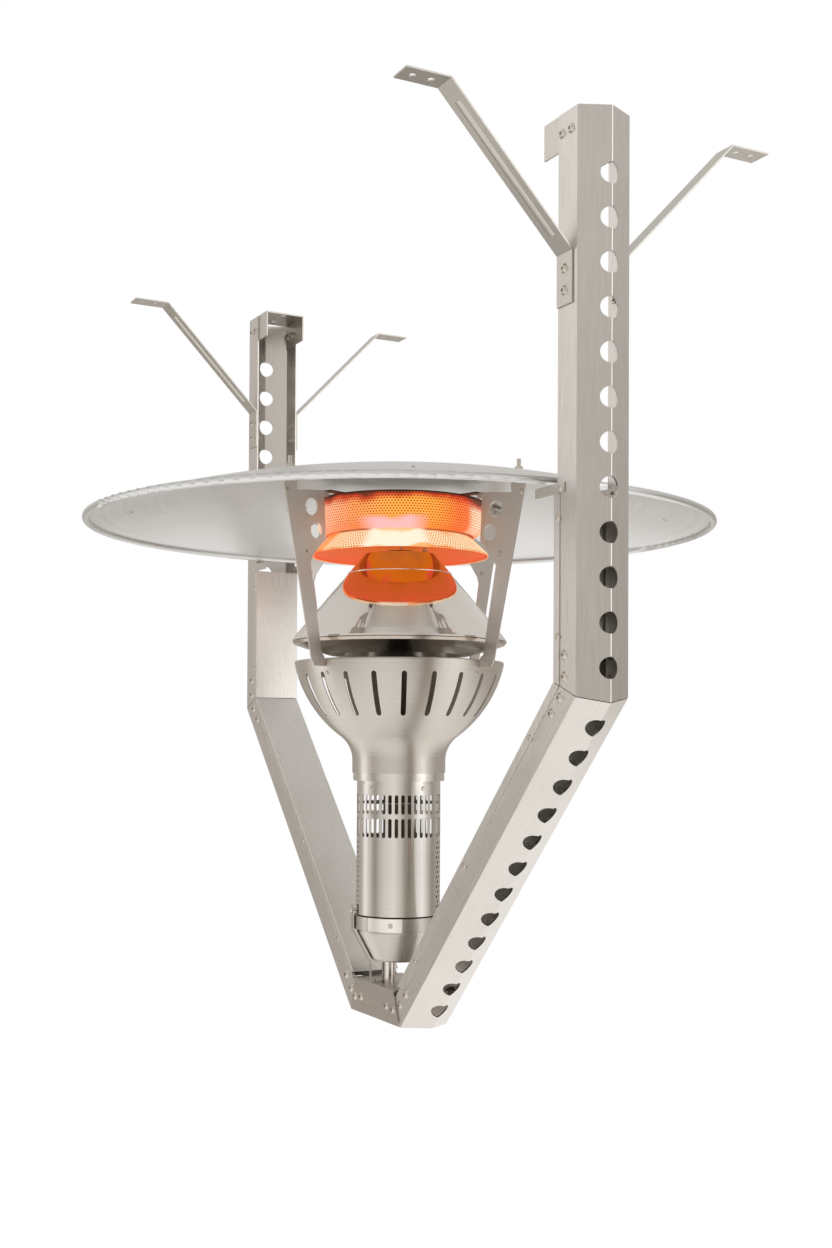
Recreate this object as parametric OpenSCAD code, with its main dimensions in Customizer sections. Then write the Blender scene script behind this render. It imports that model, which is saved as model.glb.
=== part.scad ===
// Hanging gas patio heater: a downward bowl burner with a wide reflector,
// carried by a bent two-post frame that bolts to a ceiling.
// Millimetres. Z = 0 is the ceiling, everything hangs below it; X runs along the frame.

/* [Frame] */
// Width across the outer ridges of the two posts
frame_w = 1040; // [1030:1:1060]
// Drop from the ceiling to the bottom of the frame
frame_h = 1116; // [1110:1:1120]
// Height where post and arm meet, measured down from the ceiling
bend_drop = 678; // [674:1:682]
// Distance from the centre line to an arm's ridge at the bottom
arm_end_x = 103; // [100:1:106]
// Width of the folded profile across its flanges
profile_w = 72; // [70:1:72]
// Depth of the profile from ridge to flange edge
profile_d = 56; // [55:1:57]
// Depth of the pointed web of the profile
web_d = 16.5; // [15:0.5:17]
// Sheet thickness of posts and arms
sheet = 2; // [1.6:0.2:2]
// Diameter of the large holes along the ridge
ridge_hole_d = 25; // [20:1:26]
// Number of ridge holes in a post and in an arm
ridge_holes = 12; // [10:1:12]

/* [Reflector] */
// Diameter of the reflector over its rolled rim
reflector_d = 892; // [880:2:892]
// Depth of the reflector dome
reflector_depth = 72; // [70:1:74]
// Height of the rim, measured down from the ceiling
reflector_drop = 418; // [416:1:418]

/* [Burner] */
// Diameter of the radiant band
band_d = 236.8; // [234:0.2:238]
// Diameter of the flared skirt under the band
skirt_d = 255.2; // [252:0.2:256]
// Diameter of the mirror cone at its rim
cone_d = 307.2; // [304:0.2:308]
// Diameter of the bowl at its rim
bowl_d = 298.8; // [298:0.2:300]
// Number of air slots in the bowl
bowl_slots = 22; // [12:1:24]

/* [Column] */
// Outer diameter of the access cover on the column
column_d = 122; // [121:0.5:122]
// Number of slots round one row of the column
column_slots = 42; // [30:1:42]
// Direction that the access cover faces
cover_az = -30; // [-60:5:-20]
// Diameter of the gas valve's knob
knob_d = 30; // [26:1:32]

/* [Hidden] */
$fn = 64;

// ---- shared colours ----
brushed = "#b4aea6";
polished = "#d8d6d2";
dark_steel = "#6d6862";
hot = "#ff8a3c";
ceramic = "#ece6da";

// ---- derived frame geometry ----
ridge_x = frame_w / 2;
half_w = profile_w / 2;
arm_angle = atan((ridge_x - arm_end_x) / (frame_h - bend_drop));
arm_len = (frame_h - bend_drop) / cos(arm_angle);
web_angle = atan2(half_w, web_d);
bend_cut = 1.2;
seam = 1;
post_top = -1;
first_post_hole = 77.5;
post_pitch = 51;
first_arm_hole = 40;
arm_pitch = 48;
cover_sheet = 1.2;
cover_gap = 0.2;
cover_base_u = profile_d + 4.8;
lip_u = 50;
lip_y = half_w + cover_gap;
post_cover_top = -438;
arm_cover_end = -1061;
inner_y = half_w - sheet - 0.2;
plate = 2.2;

// ---- fixings ----
bolt_r = 3;
bolt_hole_r = 3.3;
head_r = 6;
head_h = 3;
socket_r = 2.2;
nut_r = 5.8;
nut_h = 5;
screw_r = 2;
screw_head_r = 4;

bracket_bolt_x = [472, 490];
bracket_bolt_z = -24;
bracket_x0 = 430;
bracket_x1 = 500;
bracket_leg = 42;
bracket_hole_x = [439.5, 479.5];
bracket_hole_r = 4.5;

brace_x = 479.5;
brace_w = 31;
brace_bolt_z = [-182, -207];
brace_foot = [-224, -164];
brace_tab_y = [195, 250];
brace_hole_y = [212, 235];
brace_hole_r = 4;

elbow_u = 41;
elbow_s = [30, 55];
elbow_w = 26;
elbow_reach = 72;

seat_z = -1067;
seat_x = 66;
seat_y = 40;
base_plate_z = -1115;
base_plate_top = 60;
base_plate_bottom = 75;
base_bolt_at = [[40, -1092], [60, -1094]];
gusset_bolt_s = [576, 600];
gusset_bolt_u = 39.5;

cover_screw_post = [-466, -602];
cover_screw_arm = [106, 330, 520];
cover_screw_u = 53;

// ---- derived heater geometry ----
reflector_r = reflector_d / 2;
dome_r = (reflector_r * reflector_r + reflector_depth * reflector_depth) / (2 * reflector_depth);
dome_top = reflector_depth - reflector_drop;
dome_sheet = 1.5;
rim_r = 5;
strut_az = [20, 110, 200, 290];
stud_r = 216;
cone_rim_z = -582;
cone_neck_r = 50;
cone_neck_z = -457;
bowl_rim_z = -613;
shell = 1.2;
bowl_arc_r = 171.4;
bowl_arc = [-18.6, -579];
bowl_arc_end = -53.6;
neck_r = 66;
neck_end = -769;
column_r = column_d / 2;
sleeve_r = column_r - 1.3;
column_top = -768;
column_bottom = -969;
cover_top = -784;
cover_half = 63;
slot_rows = [-812.5, -845.5];
slot_l = 27;
slot_w = 5;
tube_r = 22;
pipe_r = 9.5;
pipe_at = [-6, -12];
pipe_top = -951.2;
inlet_r = 8.33;
inlet_z = [-1100, -1074];
valve_z = -925;
stem_r = 4;
fit_gap = 0.05;
strap_w = 20;
strap_az = -112;
strap_foot = 29;
strap_wall = 40;
strap_screw_z = -964;
tab_screw = [472, -431.8];
band_patch_az = -45;
band_patch_half = 23;
band_screw_az = -37;
cover_fix_az = [cover_az - 35, cover_az + 37];
cover_fix_z = -790;
bowl_slot_w = 7.2;
bowl_slot_z = -659;
bowl_slot_l = 60;
rivet_a = -17.5;
electrode_az = [60, 150];
electrode_r = 36;
rivet_r = 385;
strut_holes = [[177, -408, 11.5], [167, -439, 11]];
strut_screw_at = [[220, -389], [184, -469]];

// ---- geometry helpers ----
function unit(v) = v / norm(v);
function left_of(d) = [-d[1], d[0]];
function polar(c, r, a) = [c[0] + r * cos(a), c[1] + r * sin(a)];
function arc(c, r, a0, a1, n) = [for (i = [0:n]) polar(c, r, a0 + (a1 - a0) * i / n)];

// Offset direction at point i of a path, mitred between its two neighbours
function mitre(p, i) =
    let (
        a = max(i, 1),
        b = min(i, len(p) - 2),
        n1 = left_of(unit(p[a] - p[a - 1])),
        n2 = left_of(unit(p[b + 1] - p[b]))
    ) (n1 + n2) / (1 + n1 * n2);

// Closed outline of a sheet of thickness t that follows a centre path
function strip_outline(p, t) = concat(
    [for (i = [0:len(p) - 1]) p[i] + mitre(p, i) * t / 2],
    [for (i = [len(p) - 1:-1:0]) p[i] - mitre(p, i) * t / 2]
);

// Dome height of the reflector's outer face at radius r
function dome_z(r) = dome_top - dome_r + sqrt(dome_r * dome_r - r * r);

module strip(path, t, width) {
    linear_extrude(width, center = true) polygon(strip_outline(path, t));
}

module shell_of(path, t) {
    rotate_extrude($fn = 96) polygon(strip_outline(path, t));
}

module side(s) {
    mirror([s < 0 ? 1 : 0, 0, 0]) children();
}

module face(f) {
    mirror([0, f < 0 ? 1 : 0, 0]) children();
}

// Drawing plane XZ: 2D x goes to X and 2D y goes to Z, extruded from y0 to y1
module xz_plate(y0, y1) {
    translate([0, y1, 0]) rotate([90, 0, 0]) linear_extrude(y1 - y0) children();
}

// Arm frame: origin on the bend ridge, local -Z along the arm, local -X inward
module arm_frame() {
    translate([ridge_x, 0, -bend_drop]) rotate([0, arm_angle, 0]) children();
}

module tube(r_out, r_in, z0, z1) {
    difference() {
        translate([0, 0, z0]) cylinder(r = r_out, h = z1 - z0, $fn = 96);
        translate([0, 0, z0 - 1]) cylinder(r = r_in, h = z1 - z0 + 2, $fn = 96);
    }
}

function arm_point(s, u) = [
    ridge_x - s * sin(arm_angle) - u * cos(arm_angle),
    -bend_drop - s * cos(arm_angle) + u * sin(arm_angle)
];

// ---- folded profile ----
// Section with the ridge at the origin and the open side towards -X
module profile_2d() {
    inner_ridge = sheet / sin(web_angle);
    inner_corner = inner_ridge + (half_w - sheet) / tan(web_angle);
    ridge_cut = [bend_cut / 2 * cos(web_angle), bend_cut / 2 * sin(web_angle)];
    corner_a = [web_d - bend_cut * cos(web_angle), half_w - bend_cut * sin(web_angle)];
    upper = [
        ridge_cut, corner_a, [web_d + bend_cut, half_w], [profile_d, half_w],
        [profile_d, half_w - sheet], [inner_corner, half_w - sheet], [inner_ridge, 0]
    ];
    lower = [for (i = [5:-1:0]) [upper[i][0], -upper[i][1]]];
    mirror([1, 0]) polygon(concat(upper, lower));
}

// Section of the inner cover: a shallow channel whose lips clasp the flanges
module cover_2d() {
    outer_y = lip_y + cover_sheet;
    base_u = cover_base_u + cover_sheet;
    edge = 0.7;
    mirror([1, 0]) polygon([
        [lip_u, outer_y], [base_u - edge, outer_y], [base_u, outer_y - edge],
        [base_u, edge - outer_y], [base_u - edge, -outer_y], [lip_u, -outer_y],
        [lip_u, -lip_y], [cover_base_u, -lip_y], [cover_base_u, lip_y], [lip_u, lip_y]
    ]);
}

// Half-space on one side of the mitre between post and arm
module mitre_cut(below) {
    translate([ridge_x, 0, -bend_drop]) rotate([0, arm_angle / 2, 0])
        translate([-150, -60, below ? seam / 2 - 300 : -seam / 2]) cube([200, 120, 300]);
}

module bottom_cut(z) {
    translate([-100, -60, z - 300]) cube([400, 120, 300]);
}

// Hole through both flanges at a point of the XZ plane
module flange_hole(p, r) {
    translate([p[0], 50, p[1]]) rotate([90, 0, 0]) cylinder(r = r, h = 100);
}

module post(s) {
    color(brushed) side(s) difference() {
        translate([ridge_x, 0, -bend_drop - 1])
            linear_extrude(bend_drop + 1 + post_top) profile_2d();
        mitre_cut(true);
        for (i = [0:ridge_holes - 1])
            translate([ridge_x - web_d, 0, -first_post_hole - post_pitch * i])
                rotate([0, 90, 0]) cylinder(r = ridge_hole_d / 2, h = web_d + 10);
        for (x = bracket_bolt_x) flange_hole([x, bracket_bolt_z], bolt_hole_r);
        for (z = brace_bolt_z) flange_hole([brace_x, z], bolt_hole_r);
        for (d = elbow_s) flange_hole([ridge_x - elbow_u, d - bend_drop], bolt_hole_r);
        for (z = cover_screw_post) flange_hole([ridge_x - cover_screw_u, z], screw_r + 0.2);
        flange_hole([tab_screw[0], tab_screw[1]], screw_r + 0.2);
    }
}

module arm(s) {
    color(brushed) side(s) difference() {
        arm_frame() difference() {
            translate([0, 0, -arm_len - 80]) linear_extrude(arm_len + 110) profile_2d();
            for (i = [0:ridge_holes - 1])
                translate([-web_d, 0, -first_arm_hole - arm_pitch * i])
                    rotate([0, 90, 0]) cylinder(r = ridge_hole_d / 2, h = web_d + 10);
        }
        mitre_cut(false);
        bottom_cut(-frame_h);
        for (d = elbow_s) flange_hole(arm_point(d, elbow_u), bolt_hole_r);
        for (p = base_bolt_at) flange_hole(p, bolt_hole_r);
        for (d = gusset_bolt_s) flange_hole(arm_point(d, gusset_bolt_u), bolt_hole_r);
        for (d = cover_screw_arm) flange_hole(arm_point(d, cover_screw_u), screw_r + 0.2);
    }
}

module post_cover(s) {
    color(polished) side(s) difference() {
        translate([ridge_x, 0, -bend_drop - 1])
            linear_extrude(bend_drop + 1 + post_cover_top) cover_2d();
        mitre_cut(true);
        for (z = cover_screw_post) flange_hole([ridge_x - cover_screw_u, z], screw_r + 0.2);
    }
}

module arm_cover(s) {
    color(polished) side(s) difference() {
        arm_frame() translate([0, 0, -arm_len]) linear_extrude(arm_len + 40) cover_2d();
        mitre_cut(false);
        bottom_cut(arm_cover_end);
        for (d = cover_screw_arm) flange_hole(arm_point(d, cover_screw_u), screw_r + 0.2);
    }
}

// Splice plates inside the flanges at the bend
module elbow_plates(s) {
    top = [ridge_x - elbow_u, elbow_reach - bend_drop];
    bend = [ridge_x - elbow_u, elbow_u * tan(arm_angle / 2) - bend_drop];
    path = [top, bend, arm_point(elbow_reach, elbow_u)];
    color(brushed) side(s) for (f = [-1, 1]) face(f) difference() {
        xz_plate(inner_y - plate, inner_y) polygon(strip_outline(path, elbow_w));
        for (d = elbow_s) {
            flange_hole([ridge_x - elbow_u, d - bend_drop], bolt_hole_r);
            flange_hole(arm_point(d, elbow_u), bolt_hole_r);
        }
    }
}

// Inverted channel that bolts to the ceiling inside the post's flanges
module ceiling_bracket(s) {
    top_t = 2.5;
    wide = bracket_x1 - bracket_x0;
    color(brushed) side(s) difference() {
        translate([bracket_x0, -inner_y, -bracket_leg]) cube([wide, 2 * inner_y, bracket_leg]);
        translate([bracket_x0 - 1, plate - inner_y, -bracket_leg - 1])
            cube([wide + 2, 2 * (inner_y - plate), bracket_leg + 1 - top_t]);
        for (x = bracket_bolt_x) flange_hole([x, bracket_bolt_z], bolt_hole_r);
        for (x = bracket_hole_x)
            translate([x, 0, -top_t - 1]) cylinder(r = bracket_hole_r, h = top_t + 2);
    }
}

// Diagonal brace: foot on the flange, slanted strip with a pressed rib, ceiling tab
module brace(s, f) {
    t = 2;
    y0 = half_w + cover_gap + t / 2;
    path = [
        [y0, brace_foot[0]], [y0, brace_foot[1]],
        [brace_tab_y[0], -t / 2], [brace_tab_y[1], -t / 2]
    ];
    slope = atan2(-t / 2 - brace_foot[1], brace_tab_y[0] - y0);
    run = norm(path[2] - path[1]);
    rib_end = 24;
    rib_r = 9;
    rib_h = 1.8;
    color(brushed) side(s) face(f) difference() {
        union() {
            translate([brace_x, 0, 0]) rotate([90, 0, 90]) strip(path, t, brace_w);
            translate([brace_x, y0, brace_foot[1]]) rotate([slope, 0, 0]) intersection() {
                translate([0, rib_end, rib_r - t / 2 - rib_h]) rotate([-90, 0, 0])
                    cylinder(r = rib_r, h = run - 2 * rib_end);
                translate([-brace_w / 2, rib_end, -t / 2 - rib_h])
                    cube([brace_w, run - 2 * rib_end, t + rib_h / 2]);
            }
        }
        for (z = brace_bolt_z) flange_hole([brace_x, z], bolt_hole_r);
        for (y = brace_hole_y) translate([brace_x, y, -t - 1]) cylinder(r = brace_hole_r, h = t + 2);
    }
}

// Seat under the column with a bolted plate on the front and rear flanges
module base_bracket() {
    plate_outline = [
        [-base_plate_top, seat_z], [base_plate_top, seat_z],
        [base_plate_bottom, base_plate_z + 6], [base_plate_bottom - 5, base_plate_z],
        [5 - base_plate_bottom, base_plate_z], [-base_plate_bottom, base_plate_z + 6]
    ];
    color(brushed) difference() {
        union() {
            translate([-seat_x, -seat_y, seat_z - sheet]) cube([2 * seat_x, 2 * seat_y, sheet]);
            for (f = [-1, 1]) face(f) xz_plate(lip_y, lip_y + sheet) polygon(plate_outline);
        }
        on_pipe() translate([0, 0, seat_z - 10]) cylinder(r = pipe_r + 0.5, h = 20);
        for (s = [-1, 1]) side(s) for (p = base_bolt_at) flange_hole(p, bolt_hole_r);
        on_straps() translate([strap_foot, 0, seat_z - 10]) cylinder(r = 2.3, h = 20);
    }
}

// Inner plates that tie the two arms together
module base_gussets() {
    reach = arm_point(568, gusset_bolt_u);
    color(brushed) for (f = [-1, 1]) face(f) difference() {
        xz_plate(inner_y - plate, inner_y) polygon([
            [-reach[0], reach[1]], [-60, seat_z - 5], [60, seat_z - 5], reach,
            [reach[0] + 8, reach[1] - 8], [74, -frame_h + 2], [-74, -frame_h + 2],
            [-reach[0] - 8, reach[1] - 8]
        ]);
        for (s = [-1, 1]) side(s) {
            for (p = base_bolt_at) flange_hole(p, bolt_hole_r);
            for (d = gusset_bolt_s) flange_hole(arm_point(d, gusset_bolt_u), bolt_hole_r);
        }
    }
}

// Strap that carries the column: foot on the seat, slant round the cup, screw at the band
module column_strap(turn) {
    t = 1.6;
    foot_z = seat_z + t / 2;
    path = [
        [strap_foot - 6, foot_z], [strap_wall - t / 2, foot_z], [strap_wall - t / 2, -1041],
        [column_r + 4.4, -992], [column_r + 4.4, -957]
    ];
    color(brushed) rotate([0, 0, strap_az + turn]) difference() {
        rotate([90, 0, 0]) strip(path, t, strap_w);
        translate([strap_foot, 0, foot_z - 5]) cylinder(r = 2.3, h = 10);
        translate([column_r - 10, 0, strap_screw_z]) rotate([0, 90, 0]) cylinder(r = 2.3, h = 30);
    }
}

// Flat tabs under the reflector's rim, one on each flange
module reflector_tabs(s) {
    color(brushed) side(s) for (f = [-1, 1]) face(f) difference() {
        translate([419, lip_y, -437.8]) cube([61, 1.5, 12]);
        flange_hole(tab_screw, screw_r + 0.2);
    }
}

// ---- fixings ----
// Button-head bolt through a flange: head seat at |y| = seat, shank end at |y| = tip
module flange_bolt(p, seat, tip) {
    translate([p[0], seat, p[1]]) rotate([-90, 0, 0]) difference() {
        union() {
            cylinder(r1 = head_r, r2 = head_r - 2, h = head_h);
            translate([0, 0, tip - seat]) cylinder(r = bolt_r, h = seat - tip + 1);
        }
        translate([0, 0, head_h - 1.6]) cylinder(r = socket_r, h = 3, $fn = 6);
    }
}

// Hexagon nut whose outer face sits at |y| = seat
module flange_nut(p, seat) {
    translate([p[0], seat, p[1]]) rotate([90, 0, 0]) difference() {
        cylinder(r = nut_r, h = nut_h, $fn = 6);
        translate([0, 0, -1]) cylinder(r = bolt_r + 0.1, h = nut_h + 2);
    }
}

module cover_screw(p, seat) {
    translate([p[0], seat, p[1]]) rotate([-90, 0, 0]) {
        cylinder(r1 = screw_head_r, r2 = screw_head_r - 1.2, h = 1.8);
        translate([0, 0, -6]) cylinder(r = screw_r, h = 6.5);
    }
}

module on_straps() {
    for (turn = [0, 180]) rotate([0, 0, strap_az + turn]) children();
}

module on_pipe() {
    translate([pipe_at[0], pipe_at[1], 0]) children();
}

module everywhere() {
    for (s = [-1, 1], f = [-1, 1]) side(s) face(f) children();
}

module ceiling_bracket_bolts() {
    color(dark_steel) everywhere()
        for (x = bracket_bolt_x) flange_bolt([x, bracket_bolt_z], half_w, inner_y - plate - 7);
}

module brace_bolts() {
    color(dark_steel) everywhere()
        for (z = brace_bolt_z) flange_bolt([brace_x, z], lip_y + 2, half_w - sheet - 7);
}

module elbow_bolts() {
    color(dark_steel) everywhere() for (d = elbow_s) {
        flange_bolt([ridge_x - elbow_u, d - bend_drop], half_w, inner_y - plate - 7);
        flange_bolt(arm_point(d, elbow_u), half_w, inner_y - plate - 7);
    }
}

module base_bolts() {
    color(dark_steel) everywhere() {
        for (p = base_bolt_at) flange_bolt(p, lip_y + sheet, inner_y - plate - 7);
        for (d = gusset_bolt_s)
            flange_bolt(arm_point(d, gusset_bolt_u), half_w, inner_y - plate - 7);
    }
}

module frame_nuts() {
    color(dark_steel) everywhere() {
        for (x = bracket_bolt_x) flange_nut([x, bracket_bolt_z], inner_y - plate);
        for (z = brace_bolt_z) flange_nut([brace_x, z], half_w - sheet);
        for (d = elbow_s) {
            flange_nut([ridge_x - elbow_u, d - bend_drop], inner_y - plate);
            flange_nut(arm_point(d, elbow_u), inner_y - plate);
        }
        for (p = base_bolt_at) flange_nut(p, inner_y - plate);
        for (d = gusset_bolt_s) flange_nut(arm_point(d, gusset_bolt_u), inner_y - plate);
    }
}

module cover_screws() {
    color(dark_steel) everywhere() {
        for (z = cover_screw_post) cover_screw([ridge_x - cover_screw_u, z], lip_y + cover_sheet);
        for (d = cover_screw_arm) cover_screw(arm_point(d, cover_screw_u), lip_y + cover_sheet);
        cover_screw(tab_screw, lip_y + 1.5);
    }
}

// Screws of the two column straps: one into the column, one down into the seat
module strap_screws() {
    color(dark_steel) on_straps() {
        translate([column_r + 5.2, 0, strap_screw_z]) rotate([0, 90, 0]) {
            cylinder(r1 = 4, r2 = 3, h = 2);
            translate([0, 0, -8.5]) cylinder(r = 2.1, h = 9);
        }
        translate([strap_foot, 0, seat_z + 1.6]) {
            cylinder(r1 = 4, r2 = 3, h = 2);
            translate([0, 0, -6]) cylinder(r = 2.1, h = 6.5);
        }
    }
}

// ---- gas train and column ----
// Pipe from the inlet thread below the seat up to the valve, with a hexagon lock nut
module gas_inlet_pipe() {
    color(ceramic) on_pipe() difference() {
        union() {
            translate([0, 0, inlet_z[0]]) cylinder(r = inlet_r, h = 60);
            translate([0, 0, inlet_z[1]]) cylinder(r = 13, h = seat_z - sheet - 0.2 - inlet_z[1], $fn = 6);
            translate([0, 0, seat_z - sheet - 1])
                cylinder(r = pipe_r, h = pipe_top - seat_z + sheet + 1);
        }
        translate([0, 0, inlet_z[0] - 1]) cylinder(r = 6, h = 180);
    }
}

// Tapered cup that closes the foot of the column
module column_cup() {
    path = [
        [0, -1034.4], [36, -1034.4], [38.6, -1032], [57.4, -996],
        [58.6, -993], [58.6, -972]
    ];
    color(brushed) difference() {
        shell_of(path, shell);
        on_pipe() translate([0, 0, -1040]) cylinder(r = pipe_r + 0.6, h = 10);
    }
}

module clamp_band() {
    band_out = column_r + 1.9;
    color(brushed) difference() {
        union() {
            tube(band_out, column_r + 0.6, -990, -971);
            intersection() {
                tube(band_out + 0.9, column_r + 0.6, -989.4, -971.6);
                wedge(band_patch_az, band_patch_half, -995, -965);
            }
        }
        radial_cut(band_screw_az, -980.5, 50, 25) circle(r = 1.9);
    }
}

// Outline of an air slot with round ends, upright in the drawing plane
module slot_2d(w, l) {
    r = w / 2;
    polygon(concat(arc([0, l / 2 - r], r, 0, 180, 6), arc([0, r - l / 2], r, 180, 360, 6)));
}

// Cuts a drawing through the column wall at azimuth az and height z
module radial_cut(az, z, r0, depth) {
    rotate([0, 0, az]) translate([r0, 0, z]) rotate([90, 0, 90]) linear_extrude(depth) children();
}

// Wedge round the vertical axis, centred on azimuth az
module wedge(az, half, z0, z1) {
    reach = 160;
    rotate([0, 0, az]) translate([0, 0, z0]) linear_extrude(z1 - z0) polygon([
        [0, 0], polar([0, 0], reach, -half), [reach, 0], polar([0, 0], reach, half)
    ]);
}

function slot_az(i) = cover_az + 360 * i / column_slots;
function off_cover(a) = abs((a - cover_az + 540) % 360 - 180);

module column_sleeve() {
    color(brushed) difference() {
        union() {
            tube(sleeve_r, sleeve_r - shell, column_bottom, column_top);
            tube(neck_r - 0.8, sleeve_r - 0.2, column_top - 12, column_top);
        }
        wedge(cover_az, cover_half - 8, cover_top - 166, cover_top - 12);
        for (i = [0:column_slots - 1]) if (off_cover(slot_az(i)) > cover_half - 4)
            for (z = slot_rows) radial_cut(slot_az(i), z, 50, 15) slot_2d(slot_w, slot_l);
        on_straps() translate([50, 0, strap_screw_z]) rotate([0, 90, 0]) cylinder(r = 2.2, h = 20);
        for (d = cover_fix_az) radial_cut(d, cover_fix_z, 50, 15) circle(r = 1.9);
    }
}

module access_cover() {
    corner = 12;
    color(polished) difference() {
        intersection() {
            tube(column_r, sleeve_r + 0.1, column_bottom, cover_top);
            wedge(cover_az, cover_half, column_bottom - 1, cover_top + 1);
        }
        for (i = [0:column_slots - 1]) if (off_cover(slot_az(i)) < cover_half - 6)
            for (z = slot_rows) radial_cut(slot_az(i), z, 50, 15) slot_2d(slot_w, slot_l);
        for (s = [-1, 1]) radial_cut(cover_az + s * (cover_half - 10), cover_top - corner, 40, 30)
            mirror([s < 0 ? 1 : 0, 0])
                polygon([[3, 14], [8, 11], [11, 7], [13, 2], [40, 2], [40, 40], [3, 40]]);
        for (d = cover_fix_az) radial_cut(d, cover_fix_z, 50, 15) circle(r = 2.1);
    }
}

module small_screw(az, r, z) {
    rotate([0, 0, az]) translate([r, 0, z]) rotate([0, 90, 0]) {
        cylinder(r1 = 3.4, r2 = 2.6, h = 1.6);
        translate([0, 0, -3.4]) cylinder(r = 1.7, h = 4);
    }
}

module access_cover_screws() {
    color(dark_steel) {
        for (d = cover_fix_az) small_screw(d, column_r + 0.05, cover_fix_z);
        small_screw(band_screw_az, column_r + 2.9, -980.5);
    }
}

// Shelf that centres the mixing tube in the column
module column_shelf() {
    color(dark_steel) difference() {
        translate([0, 0, -811.75]) cylinder(r = sleeve_r - shell - 0.2, h = 1.5, $fn = 96);
        translate([0, 0, -820]) cylinder(r = tube_r + 0.2, h = 20, $fn = 96);
        for (a = [0:60:300]) rotate([0, 0, a]) translate([40, 0, -820]) cylinder(r = 8, h = 20);
    }
}

// Control valve: upright body on the pipe, side boss that carries the stem
module gas_valve() {
    color("#c9b27a") difference() {
        union() {
            translate([0, 0, valve_z - 26]) cylinder(r = 15, h = 48);
            on_pipe() translate([0, 0, valve_z - 26]) cylinder(r = pipe_r + 2, h = 5);
            rotate([0, 0, cover_az]) translate([0, 0, valve_z]) rotate([0, 90, 0]) {
                cylinder(r = 10, h = 30);
                translate([0, 0, 12]) cylinder(r = 12, h = 8, $fn = 6);
            }
        }
        rotate([0, 0, cover_az]) translate([17, 0, valve_z]) rotate([0, 90, 0])
            cylinder(r = stem_r + fit_gap, h = 14);
    }
}

module valve_stem() {
    color(dark_steel) rotate([0, 0, cover_az]) translate([17.5, 0, valve_z]) rotate([0, 90, 0])
        cylinder(r = stem_r, h = 27);
}

// Fluted knob with a pointer rib, free to be pushed along the stem
module valve_knob() {
    knob_r = knob_d / 2;
    flutes = 12;
    color("#2b2a29") rotate([0, 0, cover_az]) translate([37, 0, valve_z]) rotate([0, 90, 0])
        difference() {
            union() {
                cylinder(r = knob_r, h = 14);
                translate([-1.5, -knob_r + 2, 13]) cube([3, 2 * knob_r - 6, 3.5]);
            }
            translate([0, 0, -1]) cylinder(r = stem_r + fit_gap, h = 13.5);
            for (a = [0:360 / flutes:359]) rotate([0, 0, a]) translate([knob_r + 1, 0, 3])
                cylinder(r = 2.2, h = 12);
        }
}

module gas_injector() {
    color("#c9b27a") difference() {
        translate([0, 0, valve_z + 22.2]) {
            cylinder(r = 8, h = 10, $fn = 6);
            translate([0, 0, 9]) cylinder(r1 = 6, r2 = 3, h = 10);
        }
        translate([0, 0, valve_z + 15]) cylinder(r = 1, h = 40);
    }
}

// Venturi tube that draws in air at its flared foot
module mixing_tube() {
    path = [[34, -886], [28, -878], [23.4, -868], [tube_r - 0.6, -858], [tube_r - 0.6, -452]];
    color(polished) shell_of(path, shell);
}

// ---- bowl, deflector and radiant head ----
module bowl() {
    bowl_r = bowl_d / 2;
    start = asin((bowl_rim_z - bowl_arc[1]) / bowl_arc_r);
    fillet_a = -bowl_arc_end;
    edge = polar(bowl_arc, bowl_arc_r, bowl_arc_end);
    fillet_r = (edge[0] - neck_r) / (1 - cos(fillet_a));
    centre = [neck_r + fillet_r, edge[1] - fillet_r * sin(fillet_a)];
    path = concat(
        arc(bowl_arc, bowl_arc_r, start, bowl_arc_end, 16),
        arc(centre, fillet_r, 180 - fillet_a + 5, 180, 6),
        [[neck_r, neck_end]]
    );
    color(brushed) difference() {
        union() {
            shell_of(path, shell);
            rotate_extrude($fn = 96) translate([bowl_r - 2.4, bowl_rim_z]) circle(r = 2.4, $fn = 24);
        }
        for (i = [0:bowl_slots - 1]) radial_cut(360 * (i + 0.5) / bowl_slots, bowl_slot_z, 70, 90)
            slot_2d(bowl_slot_w, bowl_slot_l);
        on_bowl() translate([0, 0, -5]) cylinder(r = 1.7, h = 10);
    }
}

// Places a rivet at each strut's azimuth, square to the bowl's surface
module on_bowl() {
    at = polar(bowl_arc, bowl_arc_r + shell / 2, rivet_a);
    for (a = strut_az) rotate([0, 0, a])
        translate([at[0], 0, at[1]]) rotate([0, 90 - rivet_a, 0]) children();
}

module bowl_rivets() {
    color(dark_steel) on_bowl() {
        translate([0, 0, 0.08]) cylinder(r1 = 3, r2 = 2, h = 1.6);
        translate([0, 0, -3]) cylinder(r = 1.5, h = 3.4);
    }
}

// Mirror-polished cone with a bead near its neck
module deflector_cone() {
    rim = cone_d / 2;
    path = [
        [cone_neck_r, cone_neck_z], [62, -471], [73, -484.5],
        [rim - 40, cone_rim_z + 49], [rim - 8, cone_rim_z + 11], [rim - 1.6, cone_rim_z + 2.5],
        [rim - 0.6, cone_rim_z]
    ];
    color(polished) union() {
        shell_of(path, shell);
        rotate_extrude($fn = 96) translate([73, -484.5]) circle(r = 1.6, $fn = 20);
    }
}

// Pan that closes the cone from below and seals round the mixing tube
module deflector_pan() {
    rim = cone_d / 2;
    path = [
        [rim - 0.6, cone_rim_z - 0.8], [rim - 3.5, -586.4], [rim - 26, -593.5], [100, -601],
        [60, -604.4], [tube_r + 1, -604.4]
    ];
    color(polished) shell_of(path, shell);
}

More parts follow.
